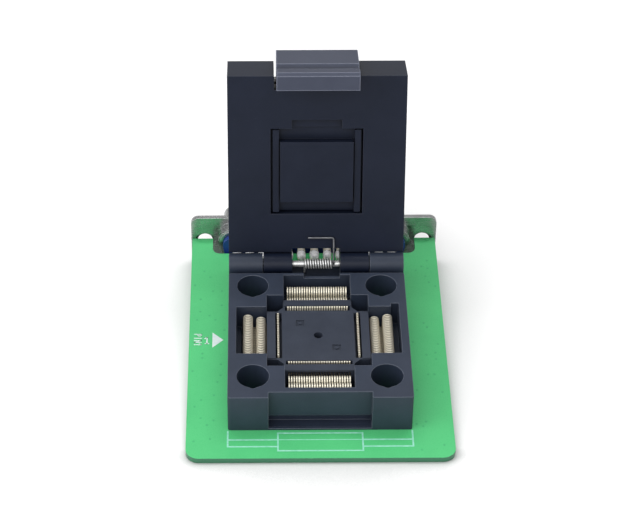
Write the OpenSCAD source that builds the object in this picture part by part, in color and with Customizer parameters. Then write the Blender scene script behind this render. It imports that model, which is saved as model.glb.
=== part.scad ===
// Clamshell test socket for a hundred-lead flat chip, on an adapter board with a D-shaped plug.
// X runs to the right, Y to the hinge and plug, Z up. The origin is the centre of the chip seat,
// on the top face of the board. The lid is drawn shut and then turned back to its open stop.

/* [Circuit board] */
// How far each side of the board stands inside the plug's flange
board_inset = 0.22; // [0:0.02:1]
// Seat centre to the board's front edge
board_front = 26.9; // [25.5:0.1:32]
// Seat centre to the board's back edge
board_back = 38.7; // [38:0.1:44]
// Thickness of the board
board_t = 1.2; // [1:0.1:1.6]
// Radius of the board's front corners
board_corner = 2.6; // [1:0.1:5]
// Room beside the plug in the board's rear cut-out
cut_side = 1.15; // [0.5:0.05:2]
// How far the rear cut-out reaches into the board
cut_depth = 5; // [4:0.1:6]

/* [Socket base] */
// Width of the moulded base
base_w = 36.2; // [34:0.1:40]
// Seat centre to the base's front face
base_front = 19.3; // [18.6:0.1:21]
// Seat centre to the back edge of the flat top
base_back = 17.1; // [17:0.1:17.6]
// Height of the base above the board
base_h = 8.95; // [8.5:0.05:10]
// Floor of the base under the contacts
floor_t = 0.9; // [0.7:0.1:1.2]
// Radius of the base's upright edges
base_edge = 0.5; // [0.2:0.1:1]
// Width of the latch recess in the front face
recess_w = 20.3; // [18.5:0.1:22]
// Depth of the latch recess
recess_d = 1.55; // [1:0.05:1.8]
// Width of the corner holes
hole_d = 6.4; // [5:0.1:6.8]
// Corner hole centres from the middle, sideways
hole_x = 13.15; // [12.5:0.05:14]
// Corner hole centres from the middle, front to back
hole_y = 13.25; // [12.5:0.05:13.8]
// Width of the small relief beside each corner hole
relief_d = 1.8; // [1.2:0.1:2.4]

/* [Contacts] */
// Contacts along each side
side_count = 25; // [11:2:25]
// Spacing of the contacts
contact_pitch = 0.5; // [0.4:0.01:0.5]
// Thickness of one contact
contact_t = 0.28; // [0.18:0.01:0.3]
// Width of the stamped strip
strip_w = 0.4; // [0.3:0.02:0.5]
// Seat centre to the contact tips
tip_r = 8.05; // [7.9:0.05:8.2]
// Height of the contact tips
tip_z = 7.85; // [7.4:0.05:8.2]
// Seat centre to the outer spring loop
outer_loop_r = 14.15; // [14:0.05:14.3]
// Height of the outer spring loop
outer_loop_z = 7.4; // [6.8:0.05:7.8]
// Seat centre to the inner spring loop
inner_loop_r = 11.5; // [11.45:0.05:11.6]
// Height of the inner spring loop
inner_loop_z = 6.8; // [6.2:0.05:7.2]
// Radius of the spring loops
loop_r = 1; // [0.9:0.02:1]
// How far the tails stand out under the board
tail_out = 0.45; // [0.3:0.05:0.7]

/* [Seat] */
// Half width of the seat platform
seat_half = 7; // [6.8:0.05:7.1]
// Height of the seat platform
seat_z = 7.4; // [7:0.05:7.8]
// Height of the slotted comb walls
comb_z = 7.6; // [7.5:0.05:8.3]
// Seat centre to the inner face of the comb walls
comb_in = 8.6; // [8.5:0.05:9]
// Half width of the seat insert
insert_half = 10.3; // [10.2:0.02:10.36]
// Half length of the contact windows
window_half = 6.85; // [6.7:0.05:7.2]
// Seat centre to the outer edge of the windows
window_out = 16.5; // [16:0.05:16.6]
// Width of the hole in the middle of the seat
seat_hole_d = 1.8; // [1:0.1:3]

/* [Hinge] */
// Seat centre back to the hinge axis
hinge_y = 20.5; // [20.3:0.05:21.2]
// Height of the hinge axis
hinge_z = 8.55; // [8.2:0.05:8.9]
// Outside radius of the hinge knuckles
knuckle_r = 2.3; // [2:0.05:2.4]
// Width of the steel hinge pin
pin_d = 1.3; // [1:0.05:1.5]
// Running room of the pin in the lid, on the radius
pin_fit = 0.05; // [0.02:0.01:0.09]
// Half width of the open middle of the hinge
hinge_window = 5; // [4.6:0.1:5.6]
// Depth of the clearance cut in the lid's heel above the spring
heel_cut = 0.9; // [0:0.1:1.5]
// Middle to the joint between lid and base knuckles
knuckle_joint = 11; // [9.5:0.1:12]
// Side room between the knuckles
knuckle_gap = 0.2; // [0.1:0.02:0.4]
// How far the lid turns from shut to open
lid_angle = 106; // [95:1:110]
// Thickness of the torsion spring's wire
spring_wire = 0.38; // [0.3:0.01:0.45]
// Turns of the torsion spring
spring_turns = 11; // [6:1:12]

/* [Lid] */
// Thickness of the lid
lid_t = 9.4; // [9:0.1:10]
// How far the shut lid reaches past the base's front face
lid_over = 1.4; // [0.8:0.05:1.6]
// Gap between the shut lid and the base
lid_gap = 0.1; // [0.05:0.05:0.3]
// Gap from the hinge knuckles to the end of the lid
heel_gap = 0.1; // [0.05:0.05:0.3]

/* [Pressure pad] */
// Half width of the pocket in the lid
pocket_half = 9.4; // [9.2:0.05:9.8]
// Depth of the pocket
pocket_d = 3.6; // [3.2:0.1:4]
// Thickness of the pad's plate
pad_plate = 1.4; // [1:0.1:1.6]
// How far the pad gives when it presses a chip
pad_travel = 0.6; // [0.2:0.05:0.7]
// Side room of the pad in its pocket
pad_gap = 0.15; // [0.1:0.05:0.3]
// Half width of the pad's middle
pad_face = 6.6; // [6:0.1:7]
// How far the pad's middle stands out of the lid
pad_proud = 0.35; // [0.1:0.05:0.5]

/* [Latch] */
// Width of the latch
latch_w = 16.5; // [14:0.1:17]
// Side room of the latch in the lid
latch_side = 0.45; // [0.2:0.05:0.8]
// How far the latch reaches below the shut lid
latch_drop = 7.5; // [7:0.05:7.8]
// How far the latch stands in front of the lid
latch_out = 3.25; // [3:0.05:4]
// Thickness of the latch arm
latch_arm = 2.25; // [1.8:0.05:2.6]
// How far the hook turns in from the arm
hook_in = 1.35; // [1.1:0.05:1.6]
// Height of the hook
hook_h = 1.3; // [1:0.05:1.5]
// Width of the latch pin
latch_pin_d = 1.5; // [1.2:0.05:1.6]
// Lid front back to the latch pin
latch_pin_back = 2.6; // [2.5:0.05:2.9]
// How far the latch turns to hook the base
latch_swing = 17.5; // [16:0.5:18]

/* [Plug] */
// Mating shell's side to the end of the flange
flange_end = 7.04; // [6.9:0.02:7.2]
// Height of the plug's flange
flange_h = 12.55; // [12:0.05:13]
// Thickness of each flange sheet
sheet_t = 0.5; // [0.4:0.05:0.6]
// Middle of each screw hole to the end of the flange
screw_end = 3; // [2.9:0.02:3.1]
// Width of the screw holes
screw_d = 3.2; // [3:0.05:3.3]
// Spacing of the pins in a row
pin_pitch = 2.77; // [2.7:0.01:2.8]
// Spacing of the two rows
row_pitch = 2.84; // [2.8:0.01:3.2]
// Pins in the long row
long_row = 13; // [9:2:13]
// Width of the mating shell
shell_w = 38.96; // [38:0.02:40]
// Height of the mating shell
shell_h = 8.36; // [8:0.02:9]
// How far the mating shell stands out
shell_out = 5.9; // [5:0.1:6.5]
// How far each side of the rear shell stands past the mating shell
back_past = 1.17; // [0.8:0.01:1.3]
// Height of the rear shell
back_h = 10.7; // [10:0.1:11]
// Depth of the rear shell
back_d = 3; // [2.5:0.1:3.2]

/* [Hidden] */
$fn = 48;
eps = 0.01;          // overlap of a cutting shape past the face it cuts
far = 40;            // longer than any cut needs
row_half = (side_count - 1) * contact_pitch / 2;

// Board, tails and drilled holes
plug_z = -board_t / 2;
cut_y = board_back - cut_depth;
flange_w = shell_w + 2 * flange_end;
back_w = shell_w + 2 * back_past;
screw_pitch = flange_w - 2 * screw_end;
board_w = flange_w - 2 * board_inset;
cut_half = back_w / 2 + cut_side;
cut_corner = 1.6;
drill_d = 0.62;
tail_in_r = 12.3;
tail_out_r = 14.6;
peg_d = 1.9;
peg_gap = 0.1;
peg_x = (window_half + hole_x - hole_d / 2) / 2;
peg_y = 14.6;

// Base
tail_room = 0.35;                        // clear of the tails in the base's floor
relief_in = 0.65;                        // relief centre inside the corner hole's edge
relief_z = 4;
key_w = 1.6;                             // notch at one end of the right-hand window
key_l = 0.9;
pin_short = 0.4;                         // hinge pin ends inside the base's sides
groove_z = 7;                            // floor of the groove in front of the fixed knuckles
web_d = 4.5;                             // hinge axis to the back of the web
web_back = hinge_y + web_d;
recess_low = 0.45;                       // lip along the bottom of the latch recess
recess_lip = 0.6;
arm_room = 0.9;                          // notch in the base for the shut lid's spring arm
window_low = 15.5;                       // windows are narrower below this height
window_low_z = 3.4;
insert_pocket = insert_half + 0.05;
recess_y = -(base_front - recess_d);
slot_half = contact_t / 2 + 0.04;
trough_r = hinge_y - base_back;

// Seat insert
trench_in = 0.3;                         // trench for the tips, from the platform's edge
trench_end = 0.25;
trench_z = 5.3;
slot_top = 7.1;                          // top of the comb's slots, which open downwards
slot_in = 0.35;
corner_z = 4.6;
corner_cut = 1.2;
mark_at = 3.6;                           // two moulded marks on the platform
mark_w = 1.7;
mark_d = 0.25;
mark_peg = 0.7;

// Contacts
root_l = 3.4;
root_h = 0.8;
turn_z = 4.2;                            // height of the turn between the two loops
beam_z = 4.6;
solder_r = 0.42;
solder_tip = 0.28;
solder_h = 0.35;

// Lid
lid_z = base_h + lid_gap;
lid_top = lid_z + lid_t;
lid_front = -(base_front + lid_over);
lid_heel = hinge_y - knuckle_r - heel_gap;
lid_lean = lid_angle - 90;
lid_chamfer = 0.4;
knuckle_web = 1;
knuckle_in = 2.07;
knuckle_tail = 1;                        // how far the lid's knuckle block reaches past the axis
tail_chamfer = 1.5;
stop_gap = 0.05;

// Latch, as [distance in front of the lid, distance below the shut lid's inner face]
notch_d = 4.9;
notch_half = latch_w / 2 + latch_side;
pin_at = [-latch_pin_back, -lid_t / 2];
boss_wall = 1.1;
boss_r = latch_pin_d / 2 + boss_wall;
arm_in = latch_out - latch_arm;
hook_at = arm_in - hook_in;
hook_top = latch_drop - hook_h;
latched_lip = turned([hook_at, hook_top]);
catch_gap = 0.12;
catch_room = 0.4;
catch_back = lid_front - latched_lip[0] + catch_room;
catch_low = 0.2;
latch_pin_hold = 3;                      // pin held in the lid at each end
latch_pin_half = notch_half + latch_pin_hold;
latch_spring_half = 1.8;
latch_spring_room = 0.3;
latch_spring_turns = 6;
latch_spring_wire = 0.3;
latch_gap = 0.1;
groove_d = 0.85;                         // finger groove across the latch
notch_lip = 1.2;                         // lip that closes the notch at the lid's inner face
notch_lip_d = 3;
heel_low = 1.6;                          // heel of the latch, from the lid's outer face
heel_top = 0.4;
heel_rise = 1;                           // top of the heel's back above the pin
shoulder_in = 0.95;                      // sloping shoulder from the lid's outer face
shoulder_h = 3;
groove_at = [1.7, 2.5, 4.4, 5.1];        // where the groove starts, is deep and ends
foot_chamfer = 0.6;
arm_root = 0.5;                           // sloping root behind the arm
arm_root_h = 0.8;
latch_outline = [
    [latch_out - shoulder_in, heel_top - lid_t], [latch_out, shoulder_h - lid_t],
    [latch_out, groove_at[0]], [latch_out - groove_d, groove_at[1]],
    [latch_out - groove_d, groove_at[2]], [latch_out, groove_at[3]],
    [latch_out, latch_drop - foot_chamfer], [latch_out - foot_chamfer, latch_drop],
    [hook_at, latch_drop], [hook_at, hook_top], [arm_in, hook_top], [arm_in, arm_root],
    [arm_in - arm_root_h, arm_root - arm_root_h], [pin_at[0], pin_at[1] + boss_r],
    [pin_at[0], pin_at[1] - heel_rise], [latch_gap - notch_d, heel_low - lid_t],
    [latch_gap - notch_d, heel_top - lid_t]
];

// Spring on the hinge pin
coil_space = 0.14;
coil_r = pin_d / 2 + pin_fit + spring_wire / 2;
coil_pitch = spring_wire + coil_space;
coil_half = spring_turns * coil_pitch / 2;
coil_x = 0.5;
arm_reach = 5.75;                        // along the lid from the axis
arm_depth = lid_z - hinge_z - spring_wire / 2 - 0.02;
arm_far = norm([arm_reach, arm_depth]);
arm_tilt = atan2(arm_reach, -arm_depth) - acos(coil_r / arm_far);
arm_x = coil_x + coil_half + coil_pitch;
arm_end_x = -1.7;

// Pad springs
pad_spring_at = 5;
pad_spring_r = 0.9;
pad_spring_wire = 0.3;
pad_spring_bore = 1.3;
pad_rest = pocket_d - pad_plate - pad_travel;   // depth of the pad's plate below the lid's face
pad_leg_in = 7.3;
pad_leg_out = 8.4;
pad_leg_half = 2;
pad_barb = 0.5;
pad_seat = pad_travel + 0.1;             // spring seats in the back of the pad
pad_well = 1.6;                          // depth of the spring wells above the pocket
pad_spring_turns = 4;
barb_ledge = 5.4;                        // ledge that holds the pad's hooks
barb_z = lid_z + barb_ledge;
rail_in = 7.7;
rail_out = 8.95;
rail_gap = 0.25;
rail_low = 0.2;
barb_h = 1.1;
tab_half = 5.1;                          // finger notch at the pocket's front edge
tab_l = 1.9;
tab_d = 1.2;

// Plug
flange_corner = 1.7;
shell_r = 2.6;
screw_rim_d = 4.4;
back_r = 3.6;
back_round = 0.3;
back_in = 0.5;
inner_w = back_w - 2 * back_in;
inner_h = back_h - 2 * back_in;
inner_r = back_r - back_in;
lip_in = 0.5;                            // lip of the rear shell round the insulator
plug_gap = 0.05;
insulator_out = 4.1;
front_face = 0.6;
plug_pin_d = 1.02;
pin_back = 1.2;                          // pin ends below the shell's rim
cup_root = 0.4;
cup_wall = 0.25;
cup_open = 0.1;
cup_end = 0.8;
cup_l = 2.9;                             // cup over the board's edge
bead_r = 1.05;
bead_drop = 0.35;
bead_tip = 0.65;
bead_taper = 0.5;
bead_past = 0.5;

// Turns a point of the latch about its pin by the latching swing
function turned(p) = [
    pin_at[0] + (p[0] - pin_at[0]) * cos(latch_swing) - (p[1] - pin_at[1]) * sin(latch_swing),
    pin_at[1] + (p[0] - pin_at[0]) * sin(latch_swing) + (p[1] - pin_at[1]) * cos(latch_swing)
];

// Shared shapes
module box_from(low, high) {
    translate(low) cube(high - low);
}

module rounded_square(w, h, r) {
    square([w - 2 * r, h], center = true);
    square([w, h - 2 * r], center = true);
    for (x = [-1, 1], y = [-1, 1]) translate([x * (w / 2 - r), y * (h / 2 - r)]) circle(r);
}

// Rod along X between two places
module rod_x(x0, x1, d) {
    translate([x0, 0, 0]) rotate([0, 90, 0]) cylinder(d = d, h = x1 - x0);
}

// Profile drawn in Y and Z, drawn out along X
module along_x(x0, x1) {
    translate([x0, 0, 0]) rotate([90, 0, 90]) linear_extrude(x1 - x0) children();
}

// Places the pieces of the lid, turned back from shut to open
module opened() {
    translate([0, hinge_y, hinge_z]) rotate([-lid_angle, 0, 0]) translate([0, -hinge_y, -hinge_z])
        children();
}

// Wound wire about X, with straight legs at its ends: x0 is where it starts, a0 the angle there
module coil(r, wire, turns, pitch, x0, a0, leg0 = 0, leg1 = 0, steps = 14, sides = 6) {
    rings = turns * steps;
    points = [for (i = [-1:rings + 1], k = [0:sides - 1])
        let (
            n = max(0, min(rings, i)),
            leg = i < 0 ? -leg0 - eps : i > rings ? leg1 + eps : 0,
            a = a0 + 360 * n / steps,
            b = 360 * k / sides,
            q = r + wire / 2 * cos(b)
        )
        [x0 + pitch * n / steps + wire / 2 * sin(b), q * cos(a) - leg * sin(a),
            q * sin(a) + leg * cos(a)]];
    faces = concat(
        [[for (k = [0:sides - 1]) k]],
        [for (i = [0:rings + 1], k = [0:sides - 1]) let (n = (k + 1) % sides)
            [i * sides + k, (i + 1) * sides + k, (i + 1) * sides + n, i * sides + n]],
        [[for (k = [sides - 1:-1:0]) (rings + 2) * sides + k]]
    );
    polyhedron(points, faces);
}

// D-shaped outline, wide side up
module d_outline(w, h, r) {
    slant = 10;
    half_top = w / 2 - r;
    half_low = half_top - (h - 2 * r) * tan(slant);
    up = h / 2 - r;
    side = [(r - eps) * cos(slant), -(r - eps) * sin(slant)];
    for (s = [-1, 1]) {
        translate([s * half_top, up]) circle(r);
        translate([s * half_low, -up]) circle(r);
    }
    polygon([
        [-half_top, up + r - eps], [half_top, up + r - eps], [half_top, up] + side,
        [half_low, -up] + side, [half_low, eps - up - r], [-half_low, eps - up - r],
        [-half_low - side[0], -up + side[1]],
        [-half_top - side[0], up + side[1]]
    ]);
}

// Circuit board with the plug's cut-out and the contacts' drilled holes
module circuit_board() color("mediumseagreen") {
    difference() {
        translate([0, 0, -board_t]) linear_extrude(board_t) difference() {
            union() {
                translate([-board_w / 2, -board_front + board_corner])
                    square([board_w, board_front + board_back - board_corner]);
                translate([-board_w / 2 + board_corner, -board_front])
                    square([board_w - 2 * board_corner, board_corner + eps]);
                for (x = [-1, 1])
                    translate([x * (board_w / 2 - board_corner), -board_front + board_corner])
                        circle(board_corner);
            }
            translate([-cut_half, cut_y + cut_corner]) square([2 * cut_half, far]);
            translate([-cut_half + cut_corner, cut_y]) square([2 * (cut_half - cut_corner), far]);
            for (x = [-1, 1])
                translate([x * (cut_half - cut_corner), cut_y + cut_corner]) circle(cut_corner);
        }
        for (side = [0:3]) rotate(90 * side) for (i = [0:side_count - 1])
            translate([i * contact_pitch - row_half, -tail_place(i), -board_t - eps])
                cylinder(d = drill_d, h = board_t + 2 * eps, $fn = 16);
        for (s = [-1, 1]) translate([s * peg_x, s * peg_y, -board_t - eps])
            cylinder(d = peg_d + 2 * peg_gap, h = board_t + 2 * eps);
    }
}

function tail_place(i) = i % 2 == 0 ? tail_out_r : tail_in_r;

// Moulded base: contact windows, corner holes, latch catch and the fixed half of the hinge
module socket_base() color("dimgray") {
    difference() {
        union() {
            translate([0, (base_back - base_front) / 2, 0])
                linear_extrude(base_h) rounded_square(base_w, base_front + base_back, base_edge);
            hinge_web();
            for (s = [-1, 1]) {
                hinge_pedestal(s);
                translate([s * peg_x, s * peg_y, -board_t]) cylinder(d = peg_d, h = board_t + eps);
            }
        }
        box_from([-insert_pocket, -insert_pocket, floor_t], [insert_pocket, insert_pocket, far]);
        for (side = [0:3]) rotate(90 * side) contact_window();
        for (x = [-1, 1], y = [-1, 1]) translate([x * hole_x, y * hole_y, -eps]) {
            cylinder(d = hole_d, h = far);
            translate([0, relief_in - hole_d / 2, relief_z]) cylinder(d = relief_d, h = far);
        }
        box_from([window_out - key_w, window_half - eps, window_low_z],
            [window_out, window_half + key_l, far]);
        latch_recess();
        translate([0, hinge_y, hinge_z]) rod_x(-far, far, pin_d + 2 * eps);
        box_from([arm_end_x - arm_room, window_out - eps, base_h - arm_room],
            [arm_x + arm_room, base_back + eps, far]);
    }
}

// Well for one row of contacts, with the slot for its tails
module contact_window() {
    box_from([-window_half, -window_out, window_low_z], [window_half, -insert_half, far]);
    box_from([-window_half, -window_low, floor_t], [window_half, -insert_half, far]);
    box_from([-row_half - tail_room, -tail_out_r - tail_room, -eps],
        [row_half + tail_room, -tail_in_r + tail_room, far]);
}

// Recess for the latch in the front face, with the undercut that its hook takes
module latch_recess() {
    lip = -base_front + recess_lip;
    box_from([-recess_w / 2, -far, recess_low], [recess_w / 2, recess_y, far]);
    along_x(-recess_w / 2, recess_w / 2) polygon([
        [lip, catch_low], [catch_back, catch_low], [catch_back, catch_line(catch_back)],
        [recess_y - eps, catch_line(recess_y)], [recess_y - eps, recess_low + eps],
        [lip, recess_low + eps]
    ]);
}

// Height of the catch's underside at a place front to back, in line with the latched hook
function catch_line(y) = lid_z - latched_lip[1] + catch_gap
    + (y - lid_front + latched_lip[0]) * tan(latch_swing);

// Fixed knuckle at one end of the hinge, on its pedestal
module hinge_pedestal(s) {
    inner = knuckle_joint + knuckle_gap / 2;
    x0 = s > 0 ? inner : -base_w / 2;
    x1 = s > 0 ? base_w / 2 : -inner;
    translate([0, hinge_y, hinge_z]) rod_x(x0, x1, 2 * knuckle_r);
    box_from([x0, hinge_y - knuckle_r, 0], [x1, hinge_y + knuckle_r, hinge_z]);
    box_from([x0, base_back - 1, 0], [x1, hinge_y, groove_z]);
}

// Wall below the turning knuckles, hollowed round them; the lid's tails rest on it when open
module hinge_web() {
    difference() {
        along_x(-knuckle_joint - knuckle_gap, knuckle_joint + knuckle_gap) polygon([
            [base_back - 1, 0], [web_back, 0], [web_back, stop_line(web_back)],
            [hinge_y, stop_line(hinge_y)], [base_back - 1, hinge_z]
        ]);
        translate([0, hinge_y, hinge_z]) rod_x(-far, far, 2 * trough_r);
        box_from([-hinge_window, hinge_y - trough_r, hinge_z - trough_r],
            [hinge_window, far, far]);
    }
}

// Height of the face that stops the open lid, front to back
function stop_line(y) = hinge_z
    - (knuckle_tail + stop_gap + (y - hinge_y) * sin(lid_lean)) / cos(lid_lean);

// Insert that carries the chip: platform, comb walls round it and slots for the contacts
module seat_insert() color("gray") {
    difference() {
        union() {
            box_from([-insert_half, -insert_half, floor_t], [insert_half, insert_half, seat_z]);
            for (side = [0:3]) rotate(90 * side)
                box_from([-window_half, -insert_half, seat_z - eps], [window_half, -comb_in, comb_z]);
        }
        for (side = [0:3]) rotate(90 * side) {
            box_from([-window_half + trench_end, -comb_in, trench_z],
                [window_half - trench_end, -seat_half - trench_in, far]);
            translate([0, 0, floor_t - eps]) linear_extrude(slot_top - floor_t) for (i = [0:side_count - 1])
                translate([i * contact_pitch - row_half - slot_half, -insert_half - eps])
                    square([2 * slot_half, insert_half - tip_r + slot_in]);
            translate([0, 0, corner_z]) linear_extrude(far) polygon([
                [seat_half + corner_cut, -seat_half], [far, -seat_half], [far, -far],
                [seat_half, -far], [seat_half, -seat_half - corner_cut]
            ]);
        }
        translate([0, 0, -eps]) cylinder(d = seat_hole_d, h = far);
        for (s = [-1, 1]) translate([-s * mark_at, s * mark_at, seat_z - mark_d])
            translate([-mark_w / 2, -mark_w / 2, 0]) cube([mark_w, mark_w, far]);
    }
    for (s = [-1, 1]) translate([-s * mark_at, s * mark_at, seat_z - mark_d - eps])
        cylinder(d = mark_peg, h = mark_d);
}

// One stamped contact, drawn as distance from the seat centre and height
module contact(tail_r) {
    w = strip_w;
    root_in = inner_loop_r - loop_r;
    root_out = outer_loop_r + loop_r;
    root_z = floor_t + stop_gap;
    outer_z = outer_loop_z - loop_r;
    inner_z = inner_loop_z - loop_r;
    turn_out = outer_loop_r - loop_r + w;
    turn_in = inner_loop_r + loop_r - w;
    turn_r = (turn_out - turn_in) / 2;
    beam_end = tip_r - w / 2;
    rotate([90, 0, -90]) linear_extrude(contact_t, center = true) {
        translate([root_out - root_l, root_z]) square([root_l, root_h]);
        translate([tail_r - w / 2, -board_t - tail_out])
            square([w, board_t + tail_out + root_z + root_h / 2]);
        translate([root_out - w, root_z]) square([w, outer_z - root_z]);
        translate([outer_loop_r, outer_z]) half_ring(loop_r, w);
        translate([outer_loop_r - loop_r, turn_z]) square([w, outer_z - turn_z]);
        translate([(turn_out + turn_in) / 2, turn_z]) mirror([0, 1]) half_ring(turn_r, w);
        translate([turn_in, turn_z]) square([w, inner_z - turn_z]);
        translate([inner_loop_r, inner_z]) half_ring(loop_r, w);
        translate([root_in, beam_z]) square([w, inner_z - beam_z]);
        translate([beam_end, beam_z]) square([root_in + w - beam_end, w]);
        translate([beam_end, beam_z]) square([w, tip_z - w / 2 - beam_z]);
        translate([tip_r, tip_z - w / 2]) circle(w / 2);
    }
}

// Upper half of a ring, its outside radius r and its width w
module half_ring(r, w) {
    difference() {
        circle(r);
        circle(r - w);
        translate([-r - eps, -r - eps]) square([2 * (r + eps), r + eps]);
    }
}

// Row of contacts on the side that faces the front, turned to its own side
module contact_row(side) color("goldenrod") {
    rotate(90 * side) for (i = [0:side_count - 1])
        translate([i * contact_pitch - row_half, 0, 0]) contact(tail_place(i));
}

module contacts_front() contact_row(0);
module contacts_right() contact_row(1);
module contacts_back() contact_row(2);
module contacts_left() contact_row(3);

// Solder round each contact tail, under the board
module contact_solder() color("silver") {
    for (side = [0:3]) rotate(90 * side) for (i = [0:side_count - 1])
        translate([i * contact_pitch - row_half, -tail_place(i), -board_t]) difference() {
            mirror([0, 0, 1]) cylinder(r1 = solder_r, r2 = solder_tip, h = solder_h, $fn = 16);
            box_from([-contact_t / 2, -strip_w / 2, -far], [contact_t / 2, strip_w / 2, eps]);
        }
}

// Steel pin through all the knuckles
module hinge_pin() color("silver") {
    translate([0, hinge_y, hinge_z]) rod_x(-base_w / 2 + pin_short, base_w / 2 - pin_short, pin_d);
}

// Wound spring on the hinge pin, with the leg that bears on the base
module torsion_spring() color("lightgray") {
    translate([0, hinge_y, hinge_z])
        coil(coil_r, spring_wire, spring_turns, coil_pitch, coil_x - coil_half, 0,
            trough_r - stop_gap);
}

// Free arm of the spring: up the lid's inner face, then across it
module spring_arm() color("lightgray") {
    start = [coil_r * sin(arm_tilt), coil_r * cos(arm_tilt)];
    arm_l = norm([arm_reach - start[0], -arm_depth - start[1]]);
    opened() translate([arm_x, hinge_y - start[0], hinge_z - start[1]]) {
        rotate([90 - arm_tilt, 0, 0]) cylinder(d = spring_wire, h = arm_l);
        translate([0, start[0] - arm_reach, start[1] + arm_depth]) {
            sphere(d = spring_wire + 0.03);
            rod_x(arm_end_x - arm_x, 0, spring_wire);
        }
    }
}

// Lid: plate, turning knuckles, latch notch and the pocket for the pressure pad
module lid() color("dimgray") {
    opened() difference() {
        union() {
            along_x(-base_w / 2, base_w / 2) polygon([
                [lid_heel, lid_z], [lid_heel, lid_top], [lid_front + lid_chamfer, lid_top],
                [lid_front, lid_top - lid_chamfer], [lid_front, lid_z]
            ]);
            lid_knuckle(hinge_window, knuckle_joint - knuckle_gap / 2);
            lid_knuckle(-knuckle_joint + knuckle_gap / 2, -hinge_window);
        }
        translate([0, hinge_y, hinge_z]) rod_x(-far, far, pin_d + 2 * pin_fit);
        box_from([-hinge_window, lid_heel - heel_cut, lid_z - eps],
            [hinge_window, lid_heel + eps, lid_top + eps]);
        box_from([-notch_half, lid_front - eps, lid_z + notch_lip],
            [notch_half, lid_front + notch_d, lid_top + eps]);
        box_from([-notch_half, lid_front - eps, lid_z - eps],
            [notch_half, lid_front + notch_lip_d, lid_z + notch_lip + eps]);
        translate([0, lid_front - pin_at[0], lid_z - pin_at[1]])
            rod_x(-latch_pin_half, latch_pin_half, latch_pin_d + 2 * eps);
        pad_pocket();
    }
}

// Pocket in the lid's inner face, with spring wells, a finger notch and windows for the pad's hooks
module pad_pocket() {
    box_from([-pocket_half, -pocket_half, lid_z - eps], [pocket_half, pocket_half, lid_z + pocket_d]);
    box_from([-tab_half, -pocket_half - tab_l, lid_z - eps], [tab_half, 0, lid_z + tab_d]);
    for (x = [-1, 1], y = [-1, 1])
        translate([x * pad_spring_at, y * pad_spring_at, lid_z + pocket_d - eps])
            cylinder(r = pad_spring_bore, h = pad_well + eps);
    for (s = [0, 1]) mirror([s, 0, 0]) {
        box_from([pad_leg_in - pad_gap, -pad_leg_half - pad_gap, lid_z + pocket_d - eps],
            [pad_leg_out + pad_gap, pad_leg_half + pad_gap, lid_top + eps]);
        box_from([pad_leg_in - pad_gap, -pad_leg_half - pad_gap, barb_z],
            [pad_leg_out + pad_barb + pad_gap, pad_leg_half + pad_gap, lid_top + eps]);
    }
}

// Turning knuckle of the lid between two places, with the tail that stops it when open
module lid_knuckle(x0, x1) {
    translate([0, hinge_y, hinge_z]) rod_x(x0, x1, 2 * knuckle_r);
    along_x(x0, x1) polygon([
        [lid_heel - eps, lid_z + knuckle_web], [lid_heel - eps, lid_top],
        [hinge_y + knuckle_tail - tail_chamfer, lid_top],
        [hinge_y + knuckle_tail, lid_top - tail_chamfer], [hinge_y + knuckle_tail, hinge_z],
        [hinge_y - knuckle_in, hinge_z], [hinge_y - knuckle_in, lid_z + knuckle_web]
    ]);
}

// Pad that presses the chip: plate, raised middle, side rails and two spring hooks
module pressure_pad() color("darkslategray") {
    half = pocket_half - pad_gap;
    face = lid_z + pad_rest;
    opened() {
        difference() {
            box_from([-half, -half, face], [half, half, face + pad_plate]);
            for (x = [-1, 1], y = [-1, 1])
                translate([x * pad_spring_at, y * pad_spring_at, face + pad_plate - pad_seat])
                    cylinder(r = pad_spring_bore, h = pad_seat + eps);
        }
        box_from([-rail_in + rail_gap, -pad_face, lid_z - pad_proud],
            [rail_in - rail_gap, pad_face, face + eps]);
        for (s = [0, 1]) mirror([s, 0, 0]) {
            box_from([rail_in, rail_low - half, lid_z + rail_low],
                [rail_out, half - rail_low, face + eps]);
            pad_hook(face + pad_plate - eps);
        }
    }
}

// Hook of the pad: a leg through the lid with a barb over the ledge in its window
module pad_hook(z0) {
    translate([0, pad_leg_half, 0]) rotate([90, 0, 0]) linear_extrude(2 * pad_leg_half) polygon([
        [pad_leg_in, z0], [pad_leg_out, z0], [pad_leg_out, barb_z + stop_gap],
        [pad_leg_out + pad_barb, barb_z + stop_gap], [pad_leg_out, barb_z + barb_h],
        [pad_leg_in, barb_z + barb_h]
    ]);
}

// Small springs that push the pad out of its pocket
module pad_springs() color("silver") {
    z0 = lid_z + pad_rest + pad_plate;
    length = pad_travel + pad_well;
    pitch = (length - pad_spring_wire - 2 * stop_gap) / pad_spring_turns;
    opened() for (x = [-1, 1], y = [-1, 1])
        translate([x * pad_spring_at, y * pad_spring_at, z0]) rotate([0, -90, 0])
            coil(pad_spring_r, pad_spring_wire, pad_spring_turns, pitch,
                pad_spring_wire / 2 + stop_gap, 0, steps = 10, sides = 5);
}

// Latch: finger face, arm and hook, turning on its pin in the lid's notch
module latch() color("slategray") {
    opened() difference() {
        along_x(-latch_w / 2, latch_w / 2) {
            polygon([for (p = latch_outline) [lid_front - p[0], lid_z - p[1]]]);
            translate([lid_front - pin_at[0], lid_z - pin_at[1]]) circle(boss_r);
        }
        translate([0, lid_front - pin_at[0], lid_z - pin_at[1]]) {
            rod_x(-far, far, latch_pin_d + 2 * pin_fit);
            rod_x(-latch_spring_half, latch_spring_half, 2 * (boss_r + latch_spring_room));
        }
    }
}

// Steel pin that carries the latch in the lid
module latch_pin() color("silver") {
    opened() translate([0, lid_front - pin_at[0], lid_z - pin_at[1]])
        rod_x(-latch_pin_half + latch_gap, latch_pin_half - latch_gap, latch_pin_d);
}

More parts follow.
